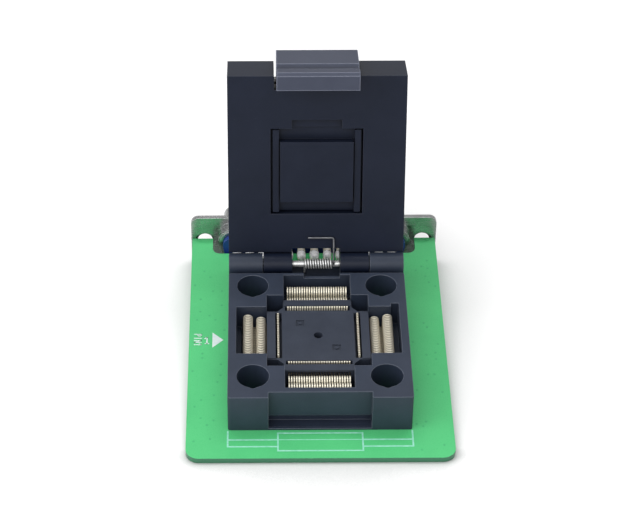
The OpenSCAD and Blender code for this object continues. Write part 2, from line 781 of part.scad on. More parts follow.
// Small wound spring on the latch pin, in the middle of the latch
module latch_spring() color("silver") {
    opened() translate([0, lid_front - pin_at[0], lid_z - pin_at[1]])
        coil((latch_pin_d + latch_spring_wire) / 2 + latch_gap, latch_spring_wire,
            latch_spring_turns, 2 * (latch_spring_half - latch_spring_room) / latch_spring_turns,
            latch_spring_room - latch_spring_half, 0, steps = 12);
}

// Front shell of the plug: flange sheet and the D-shaped mating rim
module plug_front_shell() color("gainsboro") {
    y0 = board_back + sheet_t;
    difference() {
        union() {
            flange_sheet(y0, screw_d);
            plug_place(y0, sheet_t + shell_out) d_outline(shell_w, shell_h, shell_r);
        }
        plug_place(y0 - eps, far) d_outline(shell_w - 2 * sheet_t, shell_h - 2 * sheet_t,
            shell_r - sheet_t);
    }
}

// Rear shell of the plug: flange sheet and the drawn can round the back of the insulator
module plug_rear_shell() color("gainsboro") {
    difference() {
        union() {
            flange_sheet(board_back, screw_rim_d);
            plug_place(board_back - back_d + back_round, back_d) d_outline(back_w, back_h, back_r);
            plug_place(board_back - back_d, back_d)
                d_outline(back_w - 2 * back_round, back_h - 2 * back_round, back_r - back_round);
        }
        plug_place(board_back - back_d + sheet_t, far)
            d_outline(inner_w, inner_h, inner_r);
        plug_place(-far, 3 * far)
            d_outline(inner_w - 2 * lip_in, inner_h - 2 * lip_in, inner_r - lip_in);
    }
}

// Flange sheet of the plug with its two screw holes
module flange_sheet(y0, hole) {
    plug_place(y0, sheet_t) difference() {
        rounded_square(flange_w, flange_h, flange_corner);
        for (s = [-1, 1]) translate([s * screw_pitch / 2, 0]) circle(d = hole);
    }
}

// Outline of the plug drawn in X and Z, drawn out towards the back
module plug_place(y0, depth) {
    translate([0, y0 + depth, plug_z]) rotate([90, 0, 0]) linear_extrude(depth) children();
}

// Places something at every pin: long row above, short row between below
module at_long_row() {
    for (i = [0:long_row - 1])
        translate([(i - (long_row - 1) / 2) * pin_pitch, 0, plug_z + row_pitch / 2]) children();
}

module at_short_row() {
    for (i = [0:long_row - 2])
        translate([(i - (long_row - 2) / 2) * pin_pitch, 0, plug_z - row_pitch / 2]) children();
}

// Cylinder towards the back
module rod_y(y0, y1, d) {
    translate([0, y1, 0]) rotate([90, 0, 0]) cylinder(d = d, h = y1 - y0, $fn = 24);
}

module pin_holes() {
    at_long_row() rod_y(0, 2 * far, plug_pin_d + 2 * eps);
    at_short_row() rod_y(0, 2 * far, plug_pin_d + 2 * eps);
}

// Front half of the insulator, inside the mating shell
module plug_front_insulator() color("royalblue") {
    difference() {
        plug_place(board_back + sheet_t, sheet_t + front_face)
            d_outline(shell_w - 2 * (sheet_t + plug_gap), shell_h - 2 * (sheet_t + plug_gap),
                shell_r - sheet_t - plug_gap);
        pin_holes();
    }
}

// Rear half of the insulator, out through the rear shell
module plug_rear_insulator() color("royalblue") {
    difference() {
        union() {
            plug_place(board_back - back_d + sheet_t, back_d)
                d_outline(inner_w - 2 * plug_gap, inner_h - 2 * plug_gap, inner_r - plug_gap);
            plug_place(board_back - insulator_out, insulator_out)
                d_outline(inner_w - 2 * (lip_in + plug_gap), inner_h - 2 * (lip_in + plug_gap),
                    inner_r - lip_in - plug_gap);
        }
        pin_holes();
    }
}

// One plug pin: solder cup, shank and rounded mating end. s is the side its cup opens to
module plug_pin(s) {
    cup_d = row_pitch - board_t;
    cup_y1 = board_back - insulator_out;
    cup_y0 = cut_y - cup_l;
    tip_y = board_back + 2 * sheet_t + shell_out - pin_back;
    rod_y(cup_y1 - cup_root, tip_y, plug_pin_d);
    translate([0, tip_y, 0]) sphere(d = plug_pin_d, $fn = 24);
    difference() {
        rod_y(cup_y0, cup_y1, cup_d);
        rod_y(cup_y0 - eps, cup_y1 - 1, cup_d - 2 * cup_wall);
        box_from([-cup_d, cup_y0 - eps, s > 0 ? cup_open : -cup_d],
            [cup_d, cut_y - cup_end, s > 0 ? cup_d : -cup_open]);
    }
}

module plug_pins_long() color("gold") at_long_row() plug_pin(1);
module plug_pins_short() color("gold") at_short_row() plug_pin(-1);

// Solder that joins the cups to the board's edge, above and below
module plug_solder() color("silver") {
    at_long_row() solder_bead(1);
    at_short_row() solder_bead(-1);
}

module solder_bead(s) {
    face = (row_pitch - board_t) / 2;
    length = cup_l + bead_past;
    difference() {
        translate([0, cut_y, -s * bead_drop]) rotate([90, 0, 0]) {
            cylinder(r1 = bead_tip, r2 = bead_r, h = bead_taper);
            translate([0, 0, bead_taper]) cylinder(r = bead_r, h = length - 2 * bead_taper);
            translate([0, 0, length - bead_taper])
                cylinder(r1 = bead_r, r2 = bead_tip, h = bead_taper);
        }
        plug_pin(s);
        box_from([-far, 0, s > 0 ? -far : face], [far, far, s > 0 ? -face : far]);
    }
}

circuit_board();
socket_base();
seat_insert();
contacts_front();
contacts_back();
contacts_left();
contacts_right();
contact_solder();
hinge_pin();
torsion_spring();
spring_arm();
lid();
pressure_pad();
pad_springs();
latch();
latch_pin();
latch_spring();
plug_front_shell();
plug_rear_shell();
plug_front_insulator();
plug_rear_insulator();
plug_pins_long();
plug_pins_short();
plug_solder();
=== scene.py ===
import bpy
import math
import random
from mathutils import Matrix, Vector, noise


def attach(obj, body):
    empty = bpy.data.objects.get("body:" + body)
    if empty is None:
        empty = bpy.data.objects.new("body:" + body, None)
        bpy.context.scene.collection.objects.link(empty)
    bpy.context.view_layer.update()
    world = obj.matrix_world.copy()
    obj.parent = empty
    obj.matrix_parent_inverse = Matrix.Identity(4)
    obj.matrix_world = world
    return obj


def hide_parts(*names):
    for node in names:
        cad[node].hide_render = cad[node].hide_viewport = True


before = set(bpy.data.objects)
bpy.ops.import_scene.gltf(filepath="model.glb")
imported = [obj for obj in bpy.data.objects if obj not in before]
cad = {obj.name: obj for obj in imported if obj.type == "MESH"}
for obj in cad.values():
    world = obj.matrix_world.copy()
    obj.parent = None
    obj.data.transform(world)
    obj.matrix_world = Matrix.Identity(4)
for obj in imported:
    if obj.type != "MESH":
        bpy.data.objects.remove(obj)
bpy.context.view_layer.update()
mm = 0.001
print("frame loaded:", len(cad), "nodes")


def setInputs(node, values):
    for key, value in values.items():
        if isinstance(value, bpy.types.NodeSocket):
            node.id_data.links.new(value, node.inputs[key])
        else:
            node.inputs[key].default_value = value


def addNode(tree, kind, inputs=None, **settings):
    node = tree.nodes.new(kind)
    for key, value in settings.items():
        setattr(node, key, value)
    setInputs(node, inputs or {})
    return node


def mixColour(tree, factor, a, b, blend="MIX"):
    node = addNode(tree, "ShaderNodeMix", data_type="RGBA", blend_type=blend)
    setInputs(node, {0: factor, 6: a, 7: b})
    return node.outputs[2]


def mapRange(tree, value, fromLow, fromHigh, toLow, toHigh):
    node = addNode(tree, "ShaderNodeMapRange", {
        "Value": value, "From Min": fromLow, "From Max": fromHigh, "To Min": toLow, "To Max": toHigh})
    return node.outputs[0]


def math2(tree, operation, a, b=0.0, clamp=False):
    return addNode(tree, "ShaderNodeMath", {0: a, 1: b}, operation=operation, use_clamp=clamp).outputs[0]


def newGroup(name, inputs, outputs):
    tree = bpy.data.node_groups.new(name, "ShaderNodeTree")
    for label, kind, value in inputs:
        socket = tree.interface.new_socket(name=label, in_out="INPUT", socket_type=kind)
        socket.default_value = value
    for label, kind in outputs:
        tree.interface.new_socket(name=label, in_out="OUTPUT", socket_type=kind)
    return tree, tree.nodes.new("NodeGroupInput").outputs, tree.nodes.new("NodeGroupOutput")


def useGroup(tree, group, inputs):
    node = tree.nodes.new("ShaderNodeGroup")
    node.node_tree = group
    setInputs(node, inputs)
    return node.outputs


samples = {"bevel": 6, "hollow": 8}
# Grain values lie mostly in this span, and are stretched from it to each finish's roughness
grainSpan = (0.3, 0.7)


# Rounded edges: a softened normal, and a mask that is 1 on outer edges; the finishes use the mask to paint
# highlight, with some wear, onto edges
def buildSoftEdges():
    tree, given, out = newGroup(
        "softEdges", [("Radius", "NodeSocketFloat", 0.0002), ("Gain", "NodeSocketFloat", 6.0)],
        [("Mask", "NodeSocketFloat"), ("Normal", "NodeSocketVector")])
    bevel = addNode(tree, "ShaderNodeBevel", {"Radius": given["Radius"]}, samples=samples["bevel"])
    flat = addNode(tree, "ShaderNodeNewGeometry").outputs["Normal"]
    facing = addNode(tree, "ShaderNodeVectorMath", {0: bevel.outputs[0], 1: flat},
                     operation="DOT_PRODUCT").outputs["Value"]
    away = math2(tree, "SUBTRACT", 1.0, facing)
    setInputs(out, {"Mask": math2(tree, "MULTIPLY", away, given["Gain"], True), "Normal": bevel.outputs[0]})
    return tree


# Painted shade for hollows and inner corners: a mask that is 1 where little light gets in, used to darken the
# colour there
def buildHollows():
    tree, given, out = newGroup(
        "hollowShade", [("Distance", "NodeSocketFloat", 0.0015), ("Gain", "NodeSocketFloat", 1.5)],
        [("Mask", "NodeSocketFloat")])
    shade = addNode(tree, "ShaderNodeAmbientOcclusion", {"Distance": given["Distance"]},
                    samples=samples["hollow"]).outputs["AO"]
    away = math2(tree, "SUBTRACT", 1.0, shade)
    setInputs(out, {"Mask": math2(tree, "MULTIPLY", away, given["Gain"], True)})
    return tree


# Fine moulded or blasted surface: a broad mottle and a small height
def buildGrain():
    tree, given, out = newGroup(
        "surfaceGrain",
        [("Fine scale", "NodeSocketFloat", 9000.0), ("Broad scale", "NodeSocketFloat", 150.0)],
        [("Mottle", "NodeSocketFloat"), ("Height", "NodeSocketFloat")])
    place = addNode(tree, "ShaderNodeTexCoord").outputs["Object"]
    fine = addNode(tree, "ShaderNodeTexNoise", {
        "Vector": place, "Scale": given["Fine scale"], "Detail": 3.0, "Roughness": 0.6}).outputs[0]
    broad = addNode(tree, "ShaderNodeTexNoise", {
        "Vector": place, "Scale": given["Broad scale"], "Detail": 5.0, "Roughness": 0.55}).outputs[0]
    setInputs(out, {"Mottle": mapRange(tree, broad, *grainSpan, 0.0, 1.0), "Height": fine})
    return tree


# Small pale specks, gathered in patches
def buildDust():
    tree, given, out = newGroup(
        "dustSpecks", [("Scale", "NodeSocketFloat", 900.0), ("Cover", "NodeSocketFloat", 0.12)],
        [("Mask", "NodeSocketFloat")])
    place = addNode(tree, "ShaderNodeTexCoord").outputs["Object"]
    specks = addNode(tree, "ShaderNodeTexVoronoi", {
        "Vector": place, "Scale": given["Scale"]}).outputs["Distance"]
    patches = addNode(tree, "ShaderNodeTexNoise", {
        "Vector": place, "Scale": 220.0, "Detail": 4.0}).outputs[0]
    small = mapRange(tree, specks, 0.0, given["Cover"], 1.0, 0.0)
    where = mapRange(tree, patches, 0.5, 0.7, 0.0, 1.0)
    setInputs(out, {"Mask": math2(tree, "MULTIPLY", small, where, True)})
    return tree


# Streaks along one direction, for drawn wire and stamped sheet
def buildStreaks():
    tree, given, out = newGroup(
        "drawnStreaks",
        [("Along", "NodeSocketVector", (1.0, 1.0, 1.0)), ("Scale", "NodeSocketFloat", 900.0)],
        [("Height", "NodeSocketFloat")])
    place = addNode(tree, "ShaderNodeTexCoord").outputs["Object"]
    squeezed = addNode(tree, "ShaderNodeVectorMath", {0: place, 1: given["Along"]},
                       operation="MULTIPLY").outputs[0]
    streak = addNode(tree, "ShaderNodeTexNoise", {
        "Vector": squeezed, "Scale": given["Scale"], "Detail": 4.0, "Roughness": 0.7}).outputs[0]
    setInputs(out, {"Height": streak})
    return tree


softEdges = buildSoftEdges()
hollowShade = buildHollows()
surfaceGrain = buildGrain()
dustSpecks = buildDust()
drawnStreaks = buildStreaks()


def startMaterial(name):
    material = bpy.data.materials.new(name)
    material.use_nodes = True
    tree = material.node_tree
    return material, tree, tree.nodes["Principled BSDF"]


def rgb(values):
    return (*values, 1.0)


def bumpOver(tree, height, strength, distance, normal):
    return addNode(tree, "ShaderNodeBump", {
        "Height": height, "Strength": strength, "Distance": distance, "Normal": normal}).outputs[0]


dustFinish = {"scale": 1400.0, "strength": 0.35, "colour": (0.30, 0.30, 0.30)}
bumpDistance = {"moulding": 0.00004, "metal": 0.00003, "board": 0.00003, "ink": 0.00003}


# Glass-filled moulding: dark, satin, with paler edges that are painted highlight with some wear, painted shade
# in hollows, and a little dust
def mouldingMaterial(name, s):
    material, tree, shader = startMaterial(name)
    edge = useGroup(tree, softEdges, {"Radius": s["edge"], "Gain": s["wearAndHighlightGain"]})
    grain = useGroup(tree, surfaceGrain, {"Fine scale": s["fine"], "Broad scale": s["broad"]})
    dust = useGroup(tree, dustSpecks, {"Scale": dustFinish["scale"], "Cover": s["dust"]})
    body = mixColour(tree, grain["Mottle"], rgb(s["dark"]), rgb(s["light"]))
    # Painted highlight, with some wear: edges turn towards the paler edge colour
    wornAndHighlit = mixColour(tree, edge["Mask"], body, rgb(s["wearAndHighlightColour"]))
    hollow = useGroup(tree, hollowShade, {"Distance": s["hollow"], "Gain": s["shade"]})
    # Painted shade: hollows and inner corners turn towards the dark hollow colour
    shaded = mixColour(tree, hollow["Mask"], wornAndHighlit, rgb(s["paintedShadeColour"]))
    dusty = mixColour(tree, math2(tree, "MULTIPLY", dust["Mask"], dustFinish["strength"]), shaded,
                      rgb(dustFinish["colour"]))
    rough = mapRange(tree, grain["Height"], *grainSpan, s["roughLow"], s["roughHigh"])
    setInputs(shader, {
        "Base Color": dusty, "Roughness": rough, "Specular IOR Level": s["specular"],
        "Normal": bumpOver(tree, grain["Height"], s["bump"], bumpDistance["moulding"], edge["Normal"])})
    return material


# Each finish's edge colour is a painted highlight with some wear, and its hollow colour is painted shade
mouldings = {
    "base": {"dark": (0.018, 0.027, 0.048), "light": (0.026, 0.036, 0.062), "wearAndHighlightColour": (0.130, 0.150, 0.195),
             "edge": 0.00020, "wearAndHighlightGain": 9.0, "fine": 9000.0, "broad": 160.0, "dust": 0.10,
             "roughLow": 0.42, "roughHigh": 0.58, "specular": 0.45, "bump": 0.35,
             "hollow": 0.002, "shade": 0.5, "paintedShadeColour": (0.012, 0.017, 0.030)},
    "insert": {"dark": (0.026, 0.033, 0.052), "light": (0.035, 0.044, 0.066),
               "wearAndHighlightColour": (0.090, 0.104, 0.138),
               "edge": 0.00006, "wearAndHighlightGain": 3.0, "fine": 9000.0, "broad": 200.0, "dust": 0.14,
               "roughLow": 0.45, "roughHigh": 0.62, "specular": 0.4, "bump": 0.3,
               "hollow": 0.0006, "shade": 0.8, "paintedShadeColour": (0.014, 0.018, 0.028)},
    "lid": {"dark": (0.0058, 0.0098, 0.0232), "light": (0.0084, 0.0128, 0.0290),
            "wearAndHighlightColour": (0.060, 0.070, 0.100),
            "edge": 0.0002, "wearAndHighlightGain": 3.0, "fine": 9000.0, "broad": 140.0, "dust": 0.10,
            "roughLow": 0.34, "roughHigh": 0.46, "specular": 0.24, "bump": 0.30,
            "hollow": 0.0015, "shade": 1.2, "paintedShadeColour": (0.003, 0.005, 0.012)},
    "pad": {"dark": (0.0060, 0.0100, 0.0236), "light": (0.0084, 0.0130, 0.0292),
            "wearAndHighlightColour": (0.045, 0.054, 0.080),
            "edge": 0.0001, "wearAndHighlightGain": 3.0, "fine": 9000.0, "broad": 200.0, "dust": 0.08,
            "roughLow": 0.36, "roughHigh": 0.5, "specular": 0.24, "bump": 0.3,
            "hollow": 0.0012, "shade": 1.0, "paintedShadeColour": (0.003, 0.005, 0.012)},
    "latch": {"dark": (0.040, 0.048, 0.079), "light": (0.049, 0.058, 0.092), "wearAndHighlightColour": (0.26, 0.28, 0.36),
              "edge": 0.00030, "wearAndHighlightGain": 12.0, "fine": 8000.0, "broad": 150.0, "dust": 0.10,
              "roughLow": 0.36, "roughHigh": 0.50, "specular": 0.42, "bump": 0.35,
              "hollow": 0.0018, "shade": 3.5, "paintedShadeColour": (0.010, 0.012, 0.020)},
    "plug": {"dark": (0.006, 0.034, 0.200), "light": (0.010, 0.048, 0.260), "wearAndHighlightColour": (0.04, 0.11, 0.40),
             "edge": 0.0001, "wearAndHighlightGain": 2.0, "fine": 7000.0, "broad": 200.0, "dust": 0.08,
             "roughLow": 0.35, "roughHigh": 0.5, "specular": 0.5, "bump": 0.2,
             "hollow": 0.0010, "shade": 0.5, "paintedShadeColour": (0.004, 0.015, 0.080)},
}


# Gain of the painted highlight on metal edges
metalEdgeHighlight = 2.0
streakShare = 0.6


# Metals: plated sheet, gold plate, solder and drawn wire, with painted highlight on edges and painted shade in
# hollows
def metalMaterial(name, s):
    material, tree, shader = startMaterial(name)
    edge = useGroup(tree, softEdges, {"Radius": s["edge"], "Gain": metalEdgeHighlight})
    grain = useGroup(tree, surfaceGrain, {"Fine scale": s["fine"], "Broad scale": s["broad"]})
    streak = useGroup(tree, drawnStreaks, {"Along": s["along"], "Scale": s["streaks"]})
    body = mixColour(tree, grain["Mottle"], rgb(s["dark"]), rgb(s["light"]))
    # Painted highlight: edges turn towards the bright edge colour
    bright = mixColour(tree, edge["Mask"], body, rgb(s["wearAndHighlightColour"]))
    hollow = useGroup(tree, hollowShade, {"Distance": s["hollow"], "Gain": s["shade"]})
    # Painted shade: hollows and gaps turn towards the dark hollow colour
    shaded = mixColour(tree, hollow["Mask"], bright, rgb(s["paintedShadeColour"]))
    both = math2(tree, "ADD", math2(tree, "MULTIPLY", streak["Height"], streakShare),
                 math2(tree, "MULTIPLY", grain["Height"], 1.0 - streakShare))
    rough = mapRange(tree, both, *grainSpan, s["roughLow"], s["roughHigh"])
    setInputs(shader, {
        "Base Color": shaded, "Roughness": rough, "Metallic": s["metallic"],
        "Normal": bumpOver(tree, both, s["bump"], bumpDistance["metal"], edge["Normal"])})
    return material


# Each metal's edge colour is a painted highlight, and its hollow colour is painted shade
metals = {
    "shell": {"dark": (0.33, 0.34, 0.34), "light": (0.50, 0.51, 0.51), "wearAndHighlightColour": (0.86, 0.87, 0.88),
              "edge": 0.00012, "fine": 3000.0, "broad": 260.0, "along": (0.15, 1.0, 1.0), "streaks": 1500.0,
              "metallic": 1.0, "roughLow": 0.20, "roughHigh": 0.36, "bump": 0.25,
              "hollow": 0.0015, "shade": 0.6, "paintedShadeColour": (0.16, 0.16, 0.17)},
    "gold": {"dark": (0.88, 0.81, 0.64), "light": (0.98, 0.93, 0.78), "wearAndHighlightColour": (1.0, 0.97, 0.86),
             "edge": 0.00004, "fine": 6000.0, "broad": 900.0, "along": (1.0, 1.0, 0.2), "streaks": 4000.0,
             "metallic": 0.35, "roughLow": 0.30, "roughHigh": 0.48, "bump": 0.15,
             "hollow": 0.00045, "shade": 1.7, "paintedShadeColour": (0.14, 0.095, 0.05)},
    "solder": {"dark": (0.94, 0.94, 0.95), "light": (1.0, 1.0, 1.0), "wearAndHighlightColour": (1.0, 1.0, 1.0),
               "edge": 0.0001, "fine": 2500.0, "broad": 800.0, "along": (1.0, 1.0, 1.0), "streaks": 800.0,
               "metallic": 0.15, "roughLow": 0.20, "roughHigh": 0.38, "bump": 0.25,
               "hollow": 0.0004, "shade": 0.0, "paintedShadeColour": (0.20, 0.21, 0.21)},
    "wire": {"dark": (0.74, 0.74, 0.74), "light": (0.94, 0.94, 0.94), "wearAndHighlightColour": (0.97, 0.97, 0.97),
             "edge": 0.00005, "fine": 6000.0, "broad": 900.0, "along": (0.2, 1.0, 1.0), "streaks": 3000.0,
             "metallic": 0.6, "roughLow": 0.22, "roughHigh": 0.36, "bump": 0.15,
             "hollow": 0.00045, "shade": 1.8, "paintedShadeColour": (0.02, 0.02, 0.025)},
    # The spring's arm is the same wire as its coil, given a darker colour as painted shade
    "shadedArmWire": {"dark": (0.16, 0.165, 0.18), "light": (0.28, 0.285, 0.30), "wearAndHighlightColour": (0.4, 0.4, 0.42),
                "edge": 0.00005, "fine": 6000.0, "broad": 900.0, "along": (0.2, 1.0, 1.0), "streaks": 3000.0,
                "metallic": 0.9, "roughLow": 0.22, "roughHigh": 0.36, "bump": 0.15,
                "hollow": 0.0003, "shade": 0.5, "paintedShadeColour": (0.02, 0.02, 0.025)},
}


# Board: green solder mask on both faces, and the bare glass laminate on its edges
board = {
    "mask": (0.096, 0.58, 0.212), "maskDeep": (0.082, 0.52, 0.192), "laminate": (0.050, 0.19, 0.105),
    "roughLow": 0.24, "roughHigh": 0.36, "bump": 0.12, "fine": 5000.0, "broad": 90.0,
    "edge": 0.00008, "wearAndHighlightGain": 2.0, "specular": 0.32, "coat": 0.08, "coatRough": 0.2,
    "dustScale": 1200.0, "dust": 0.09, "dustStrength": 0.4, "dustColour": (0.45, 0.7, 0.5),
}


def boardMaterial(name, s):
    material, tree, shader = startMaterial(name)
    grain = useGroup(tree, surfaceGrain, {"Fine scale": s["fine"], "Broad scale": s["broad"]})
    edge = useGroup(tree, softEdges, {"Radius": s["edge"], "Gain": s["wearAndHighlightGain"]})
    dust = useGroup(tree, dustSpecks, {"Scale": s["dustScale"], "Cover": s["dust"]})
    up = addNode(tree, "ShaderNodeSeparateXYZ", {0: addNode(tree, "ShaderNodeNewGeometry").outputs["Normal"]})
    # 1 where the face stands upright, which is the cut edge
    onEdge = mapRange(tree, math2(tree, "ABSOLUTE", up.outputs["Z"]), 0.3, 0.7, 1.0, 0.0)
    body = mixColour(tree, grain["Mottle"], rgb(s["maskDeep"]), rgb(s["mask"]))
    dusty = mixColour(tree, math2(tree, "MULTIPLY", dust["Mask"], s["dustStrength"]), body,
                      rgb(s["dustColour"]))
    colour = mixColour(tree, onEdge, dusty, rgb(s["laminate"]))
    rough = mapRange(tree, grain["Height"], *grainSpan, s["roughLow"], s["roughHigh"])
    setInputs(shader, {
        "Base Color": colour, "Roughness": rough, "Specular IOR Level": s["specular"],
        "Coat Weight": s["coat"], "Coat Roughness": s["coatRough"],
        "Normal": bumpOver(tree, grain["Height"], s["bump"], bumpDistance["board"], edge["Normal"])})
    return material


inks = {
    "legendInk": {"colour": (0.36, 0.75, 0.62), "under": (0.20, 0.64, 0.43), "rough": 0.55},
    "markInk": {"colour": (0.80, 0.86, 0.86), "under": (0.62, 0.76, 0.74), "rough": 0.55},
    "viaMask": {"colour": (0.050, 0.46, 0.165), "under": (0.045, 0.40, 0.145), "rough": 0.3},
}
inkGrain = {"fine": 4000.0, "broad": 1100.0, "bump": 0.3}


# A printed layer, thin in places so that the colour under it shows
def inkMaterial(name, s):
    material, tree, shader = startMaterial(name)
    grain = useGroup(tree, surfaceGrain, {"Fine scale": inkGrain["fine"], "Broad scale": inkGrain["broad"]})
    body = mixColour(tree, grain["Mottle"], rgb(s["under"]), rgb(s["colour"]))
    flat = addNode(tree, "ShaderNodeNewGeometry").outputs["Normal"]
    setInputs(shader, {
        "Base Color": body, "Roughness": s["rough"],
        "Normal": bumpOver(tree, grain["Height"], inkGrain["bump"], bumpDistance["ink"], flat)})
    return material


boardGreen = boardMaterial("boardGreen", board)
finishes = {key: mouldingMaterial(key + "Moulding", s) for key, s in mouldings.items()}
finishes.update({key: metalMaterial(key + "Metal", s) for key, s in metals.items()})
printed = {name: inkMaterial(name, s) for name, s in inks.items()}

cadFinish = {
    "socket_base": "base", "seat_insert": "insert", "lid": "lid", "pressure_pad": "pad", "latch": "latch",
    "contacts_front": "gold", "contacts_back": "gold", "contacts_left": "gold", "contacts_right": "gold",
    "contact_solder": "solder", "hinge_pin": "wire", "latch_pin": "wire",
    "plug_front_shell": "shell", "plug_rear_shell": "shell",
    "plug_front_insulator": "plug", "plug_rear_insulator": "plug",
    "plug_pins_long": "gold", "plug_pins_short": "gold",
}
for nodeName, finish in cadFinish.items():
    for slot in cad[nodeName].material_slots:
        slot.material = finishes[finish]
for slot in cad["circuit_board"].material_slots:
    slot.material = boardGreen
print("materials done")


def addPiece(name, points, faces, material, body, slotName, smooth=False):
    mesh = bpy.data.meshes.new(name)
    mesh.from_pydata([Vector(p) for p in points], [], faces)
    mesh.validate()
    mesh.update()
    for face in mesh.polygons:
        face.use_smooth = smooth
    piece = bpy.data.objects.new(name, mesh)
    bpy.context.scene.collection.objects.link(piece)
    mesh.materials.append(material)
    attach(piece, body)
    return piece


# Round wire swept along a list of points in millimetres, with closed ends
def sweepWire(points, radius, sides=10):
    path = [Vector(p) for p in points]
    rings, faces = [], []
    across = None
    for i, here in enumerate(path):
        ahead = path[min(i + 1, len(path) - 1)] - path[max(i - 1, 0)]
        ahead.normalize()
        if across is None:
            across = ahead.orthogonal().normalized()
        across = (across - ahead * across.dot(ahead)).normalized()
        other = ahead.cross(across)
        for k in range(sides):
            turn = 2 * math.pi * k / sides
            rings.append((here + (across * math.cos(turn) + other * math.sin(turn)) * radius) * mm)
    for i in range(len(path) - 1):
        for k in range(sides):
            n = (k + 1) % sides
            faces.append((i * sides + k, i * sides + n, (i + 1) * sides + n, (i + 1) * sides + k))
    faces.append(tuple(range(sides))[::-1])
    faces.append(tuple((len(path) - 1) * sides + k for k in range(sides)))
    return rings, faces


def joinShapes(shapes):
    points, faces = [], []
    for shapePoints, shapeFaces in shapes:
        start = len(points)
        points += shapePoints
        faces += [tuple(start + i for i in face) for face in shapeFaces]
    return points, faces


hinge = {"y": 20.5, "z": 8.55, "openAngle": 106.0}


# Takes a point given with the lid shut to its place with the lid open
def openedLid(point):
    turn = Matrix.Rotation(math.radians(-hinge["openAngle"]), 3, "X")
    centre = Vector((0, hinge["y"], hinge["z"]))
    return centre + turn @ (Vector(point) - centre)


hingeSpring = {"radius": 0.89, "wire": 0.19, "turns": 11, "pitch": 0.52, "left": -2.36, "legDown": 3.3,
               "armX": 3.62, "armTilt": 11.78, "reach": 5.75, "armDepth": 0.29, "armEnd": -1.7, "bend": 0.45,
               "legSteps": 6, "armSteps": 8, "bendSteps": 6, "sides": 12}


def coilPath(radius, turns, pitch, steps=20):
    count = int(turns * steps)
    return [(pitch * i / steps, radius * math.cos(2 * math.pi * i / steps),
             radius * math.sin(2 * math.pi * i / steps)) for i in range(count + 1)]


def hingeSpringPiece(s):
    coil = [(s["left"] + x, hinge["y"] + y, hinge["z"] + z)
            for x, y, z in coilPath(s["radius"], s["turns"], s["pitch"])]
    top = coil[0]
    leg = [(top[0], top[1], top[2] - s["legDown"] * k / s["legSteps"]) for k in range(s["legSteps"], 0, -1)]
    points, faces = sweepWire(leg + coil, s["wire"], s["sides"])
    piece = addPiece("hingeSpring", points, faces, finishes["wire"], "base", "spring_steel", True)
    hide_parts("torsion_spring")


def springArmPiece(s):
    tilt = math.radians(s["armTilt"])
    start = (s["armX"], hinge["y"] - s["radius"] * math.sin(tilt), hinge["z"] - s["radius"] * math.cos(tilt))
    knee = (s["armX"], hinge["y"] - s["reach"], hinge["z"] + s["armDepth"])
    end = (s["armEnd"], knee[1], knee[2])
    path = [Vector(start).lerp(Vector(knee), k / s["armSteps"]) for k in range(s["armSteps"])]
    into = (Vector(knee) - Vector(start)).normalized()
    out = (Vector(end) - Vector(knee)).normalized()
    corner = Vector(knee) - into * s["bend"]
    for k in range(s["bendSteps"] + 1):
        turn = math.pi / 2 * k / s["bendSteps"]
        path.append(corner + into * s["bend"] * math.sin(turn) + out * s["bend"] * (1 - math.cos(turn)))
    path += [(Vector(knee) + out * s["bend"]).lerp(Vector(end), k / s["legSteps"])
             for k in range(1, s["legSteps"] + 1)]
    points, faces = sweepWire([openedLid(p) for p in path], s["wire"], s["sides"])
    piece = addPiece("springArm", points, faces, finishes["shadedArmWire"], "lid", "spring_steel", True)
    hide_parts("spring_arm")


# padGap is the room left at each end of a pad spring
smallSprings = {"padAt": 5.0, "padRadius": 0.9, "padWire": 0.15, "padTurns": 4, "padLow": 12.05,
                "padLength": 2.2, "padGap": 0.05, "padSteps": 16, "latchSteps": 18, "sides": 8,
                "latchRadius": 1.0, "latchWire": 0.15, "latchTurns": 6, "latchHalf": 1.5,
                "pinY": -18.1, "pinZ": 13.75}


def smallSpringPieces(s):
    pitch = (s["padLength"] - 2 * s["padWire"] - 2 * s["padGap"]) / s["padTurns"]
    shapes = []
    for x in (-1, 1):
        for y in (-1, 1):
            path = [openedLid((x * s["padAt"] + b, y * s["padAt"] + c,
                               s["padLow"] + s["padGap"] + s["padWire"] + a))
                    for a, b, c in coilPath(s["padRadius"], s["padTurns"], pitch, s["padSteps"])]
            shapes.append(sweepWire(path, s["padWire"], s["sides"]))
    piece = addPiece("padSprings", *joinShapes(shapes), finishes["wire"], "lid", "spring_steel", True)
    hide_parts("pad_springs")
    pitch = 2 * s["latchHalf"] / s["latchTurns"]
    path = [openedLid((-s["latchHalf"] + a, s["pinY"] + b, s["pinZ"] + c))
            for a, b, c in coilPath(s["latchRadius"], s["latchTurns"], pitch, s["latchSteps"])]
    piece = addPiece("latchSpring", *sweepWire(path, s["latchWire"], s["sides"]), finishes["wire"],
                     "latch", "spring_steel", True)
    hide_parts("latch_spring")


hingeSpringPiece(hingeSpring)
springArmPiece(hingeSpring)
smallSpringPieces(smallSprings)
print("springs done")


solderBeads = {"pitch": 2.77, "long": 13, "y": 32.3, "halfLength": 1.65, "halfWidth": 1.0, "lift": 0.66,
               "boardThick": 1.2, "seed": 11, "around": 20, "along": 14, "tilt": 0.12, "grow": (0.93, 1.07),
               "roundness": 2.6, "lumps": 0.07, "lumpScale": 1.7, "height": 0.95, "taper": 0.12}


